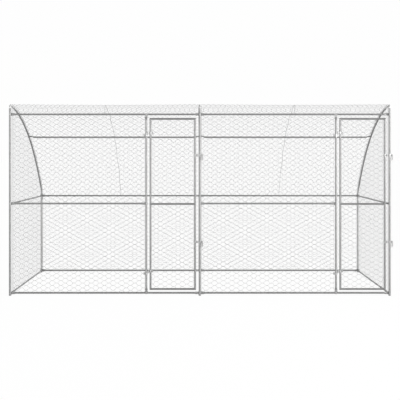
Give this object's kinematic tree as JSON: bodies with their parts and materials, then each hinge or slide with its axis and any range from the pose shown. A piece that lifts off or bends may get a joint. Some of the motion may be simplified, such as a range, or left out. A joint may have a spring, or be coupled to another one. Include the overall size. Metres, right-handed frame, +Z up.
{
  "type": "outdoor dog kennel run",
  "caption": "Walk-in outdoor dog run of bolted galvanised tube, netted on all sides and over a roof that curves down to the back, with hinged and latched front doors.",
  "frame": {"origin": "on the ground, under the centre of the middle front post", "axes": "+X to the right along the front, +Y back from the front posts to the rear posts, +Z up"},
  "size_m": [4.0482, 2.0413, 2.0206],
  "materials": {
    "frame_tube": "hot-dip galvanised tube, satin, softly mottled",
    "door_tube": "hot-dip galvanised tube, satin, softly mottled",
    "netting_wire": "galvanised six-sided wire netting",
    "zinc_hardware": "zinc-plated pressed strip",
    "zinc_fastener": "zinc-plated bolts and nuts",
    "foot_plastic": "grey moulded plug"
  },
  "bodies": {
    "frame": {"front_post_left": "frame_tube", "front_post_centre": "frame_tube", "front_post_right": "frame_tube", "rear_post_left": "frame_tube", "rear_post_centre": "frame_tube", "rear_post_right": "frame_tube", "roof_arch_left": "frame_tube", "roof_arch_centre": "frame_tube", "roof_arch_right": "frame_tube", "hinge_post_left": "frame_tube", "front_bottom_rail_left": "frame_tube", "front_mid_rail_left": "frame_tube", "front_top_rail_left": "frame_tube", "rear_bottom_rail_left": "frame_tube", "rear_top_rail_left": "frame_tube", "roof_purlin_left": "frame_tube", "side_bottom_rail_left": "frame_tube", "side_mid_rail_left": "frame_tube", "front_net_left": "netting_wire", "rear_net_left": "netting_wire", "side_net_left": "netting_wire", "roof_net_left": "netting_wire", "hinge_post_right": "frame_tube", "front_bottom_rail_right": "frame_tube", "front_mid_rail_right": "frame_tube", "front_top_rail_right": "frame_tube", "rear_bottom_rail_right": "frame_tube", "rear_top_rail_right": "frame_tube", "roof_purlin_right": "frame_tube", "side_bottom_rail_right": "frame_tube", "side_mid_rail_right": "frame_tube", "front_net_right": "netting_wire", "rear_net_right": "netting_wire", "side_net_right": "netting_wire", "roof_net_right": "netting_wire", "foot_plugs": "foot_plastic", "pintle_clamps": "zinc_hardware", "latch_clamps": "zinc_hardware", "clamp_bolts": "zinc_fastener", "frame_bolts": "zinc_fastener", "frame_nuts": "zinc_fastener"},
    "left_door": {"left_door_hinge_stile": "door_tube", "left_door_latch_stile": "door_tube", "left_door_rails": "door_tube", "left_door_net": "netting_wire", "left_door_eye_clamps": "zinc_hardware", "left_door_keeper_clamps": "zinc_hardware", "left_door_bolts": "zinc_fastener"},
    "right_door": {"right_door_hinge_stile": "door_tube", "right_door_latch_stile": "door_tube", "right_door_rails": "door_tube", "right_door_net": "netting_wire", "right_door_eye_clamps": "zinc_hardware", "right_door_keeper_clamps": "zinc_hardware", "right_door_bolts": "zinc_fastener"},
    "left_upper_latch_hook": {"left_upper_latch_hook": "zinc_hardware"},
    "left_lower_latch_hook": {"left_lower_latch_hook": "zinc_hardware"},
    "right_upper_latch_hook": {"right_upper_latch_hook": "zinc_hardware"},
    "right_lower_latch_hook": {"right_lower_latch_hook": "zinc_hardware"}
  },
  "joints": [
    {"name": "left_door_swing", "type": "hinge", "parent": "frame", "child": "left_door", "pos_m": [-0.54225, 0, 0.966], "axis": [0, 0, -1], "range_deg": [0, 110]},
    {"name": "right_door_swing", "type": "hinge", "parent": "frame", "child": "right_door", "pos_m": [1.45775, 0, 0.966], "axis": [0, 0, -1], "range_deg": [0, 110]},
    {"name": "left_upper_latch_turn", "type": "hinge", "parent": "frame", "child": "left_upper_latch_hook", "pos_m": [0.0237, -0.0175, 1.479], "axis": [0, -1, 0], "range_deg": [0, 270]},
    {"name": "left_lower_latch_turn", "type": "hinge", "parent": "frame", "child": "left_lower_latch_hook", "pos_m": [0.0237, -0.0175, 0.5665], "axis": [0, -1, 0], "range_deg": [0, 270]},
    {"name": "right_upper_latch_turn", "type": "hinge", "parent": "frame", "child": "right_upper_latch_hook", "pos_m": [2.0237, -0.0175, 1.479], "axis": [0, -1, 0], "range_deg": [0, 270]},
    {"name": "right_lower_latch_turn", "type": "hinge", "parent": "frame", "child": "right_lower_latch_hook", "pos_m": [2.0237, -0.0175, 0.5665], "axis": [0, -1, 0], "range_deg": [0, 270]}
  ]
}
